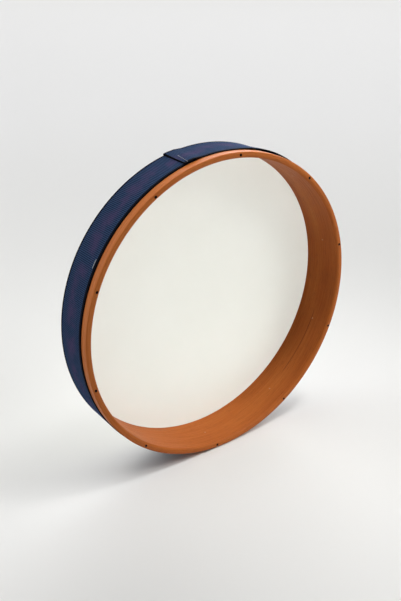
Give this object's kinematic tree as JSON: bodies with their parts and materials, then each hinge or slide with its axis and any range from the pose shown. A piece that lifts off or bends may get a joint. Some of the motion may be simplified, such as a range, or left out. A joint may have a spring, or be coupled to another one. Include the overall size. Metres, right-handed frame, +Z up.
{
  "type": "bendir frame drum",
  "caption": "Tunable frame drum: bent-wood hoop with an open back, white film head, navy webbing band, and hidden screws that press a tension ring against the head.",
  "frame": {"origin": "on the floor under the middle of the drum, which stands on its edge", "axes": "+Y along the drum's axis from the open back to the head, +Z up, +X to the right as seen from the open back"},
  "size_m": [0.3996, 0.06, 0.4001],
  "materials": {
    "stained_wood": "red-brown stain under a satin lacquer",
    "white_film": "warm white coated film, satin",
    "ring_metal": "drawn bar, satin",
    "navy_webbing": "navy ribbed webbing with black edges",
    "black_steel": "black oxide",
    "brass": "machined",
    "bright_steel": "bright wire"
  },
  "bodies": {
    "drum": {"hoop": "stained_wood", "drum_head": "white_film", "band": "navy_webbing", "band_staple": "bright_steel", "threaded_insert_01": "brass", "threaded_insert_02": "brass", "threaded_insert_03": "brass", "threaded_insert_04": "brass", "threaded_insert_05": "brass", "threaded_insert_06": "brass", "threaded_insert_07": "brass", "threaded_insert_08": "brass", "threaded_insert_09": "brass", "threaded_insert_10": "brass", "lock_pin_01": "bright_steel", "lock_pin_02": "bright_steel", "lock_pin_03": "bright_steel", "lock_pin_04": "bright_steel", "lock_pin_05": "bright_steel", "lock_pin_06": "bright_steel", "lock_pin_07": "bright_steel", "lock_pin_08": "bright_steel", "lock_pin_09": "bright_steel", "lock_pin_10": "bright_steel"},
    "ring": {"tension_ring": "ring_metal"},
    "screw_01": {"tuning_screw_01": "black_steel"},
    "screw_02": {"tuning_screw_02": "black_steel"},
    "screw_03": {"tuning_screw_03": "black_steel"},
    "screw_04": {"tuning_screw_04": "black_steel"},
    "screw_05": {"tuning_screw_05": "black_steel"},
    "screw_06": {"tuning_screw_06": "black_steel"},
    "screw_07": {"tuning_screw_07": "black_steel"},
    "screw_08": {"tuning_screw_08": "black_steel"},
    "screw_09": {"tuning_screw_09": "black_steel"},
    "screw_10": {"tuning_screw_10": "black_steel"}
  },
  "joints": [
    {"name": "ring_slide", "type": "slide", "parent": "drum", "child": "ring", "axis": [0, 1, 0], "range_m": [-0.0036, 0]},
    {"name": "screw_01_turn", "type": "hinge", "parent": "ring", "child": "screw_01", "pos_m": [0.01464, -0.002, 0.39461], "axis": [0, 1, 0], "range_deg": [-2592.1, 0]},
    {"name": "screw_02_turn", "type": "hinge", "parent": "ring", "child": "screw_02", "pos_m": [0.12633, -0.002, 0.34881], "axis": [0, 1, 0], "range_deg": [-2592.1, 0]},
    {"name": "screw_03_turn", "type": "hinge", "parent": "ring", "child": "screw_03", "pos_m": [0.18976, -0.002, 0.2461], "axis": [0, 1, 0], "range_deg": [-2592.1, 0]},
    {"name": "screw_04_turn", "type": "hinge", "parent": "ring", "child": "screw_04", "pos_m": [0.18071, -0.002, 0.12573], "axis": [0, 1, 0], "range_deg": [-2592.1, 0]},
    {"name": "screw_05_turn", "type": "hinge", "parent": "ring", "child": "screw_05", "pos_m": [0.10263, -0.002, 0.03367], "axis": [0, 1, 0], "range_deg": [-2592.1, 0]},
    {"name": "screw_06_turn", "type": "hinge", "parent": "ring", "child": "screw_06", "pos_m": [-0.01464, -0.002, 0.00508], "axis": [0, 1, 0], "range_deg": [-2592.1, 0]},
    {"name": "screw_07_turn", "type": "hinge", "parent": "ring", "child": "screw_07", "pos_m": [-0.12633, -0.002, 0.05089], "axis": [0, 1, 0], "range_deg": [-2592.1, 0]},
    {"name": "screw_08_turn", "type": "hinge", "parent": "ring", "child": "screw_08", "pos_m": [-0.18976, -0.002, 0.15359], "axis": [0, 1, 0], "range_deg": [-2592.1, 0]},
    {"name": "screw_09_turn", "type": "hinge", "parent": "ring", "child": "screw_09", "pos_m": [-0.18071, -0.002, 0.27396], "axis": [0, 1, 0], "range_deg": [-2592.1, 0]},
    {"name": "screw_10_turn", "type": "hinge", "parent": "ring", "child": "screw_10", "pos_m": [-0.10263, -0.002, 0.36602], "axis": [0, 1, 0], "range_deg": [-2592.1, 0]}
  ],
  "couplings": [
    {"joint": "screw_01_turn", "follows": "ring_slide", "rad_per_m": 12566},
    {"joint": "screw_02_turn", "follows": "ring_slide", "rad_per_m": 12566},
    {"joint": "screw_03_turn", "follows": "ring_slide", "rad_per_m": 12566},
    {"joint": "screw_04_turn", "follows": "ring_slide", "rad_per_m": 12566},
    {"joint": "screw_05_turn", "follows": "ring_slide", "rad_per_m": 12566},
    {"joint": "screw_06_turn", "follows": "ring_slide", "rad_per_m": 12566},
    {"joint": "screw_07_turn", "follows": "ring_slide", "rad_per_m": 12566},
    {"joint": "screw_08_turn", "follows": "ring_slide", "rad_per_m": 12566},
    {"joint": "screw_09_turn", "follows": "ring_slide", "rad_per_m": 12566},
    {"joint": "screw_10_turn", "follows": "ring_slide", "rad_per_m": 12566}
  ]
}
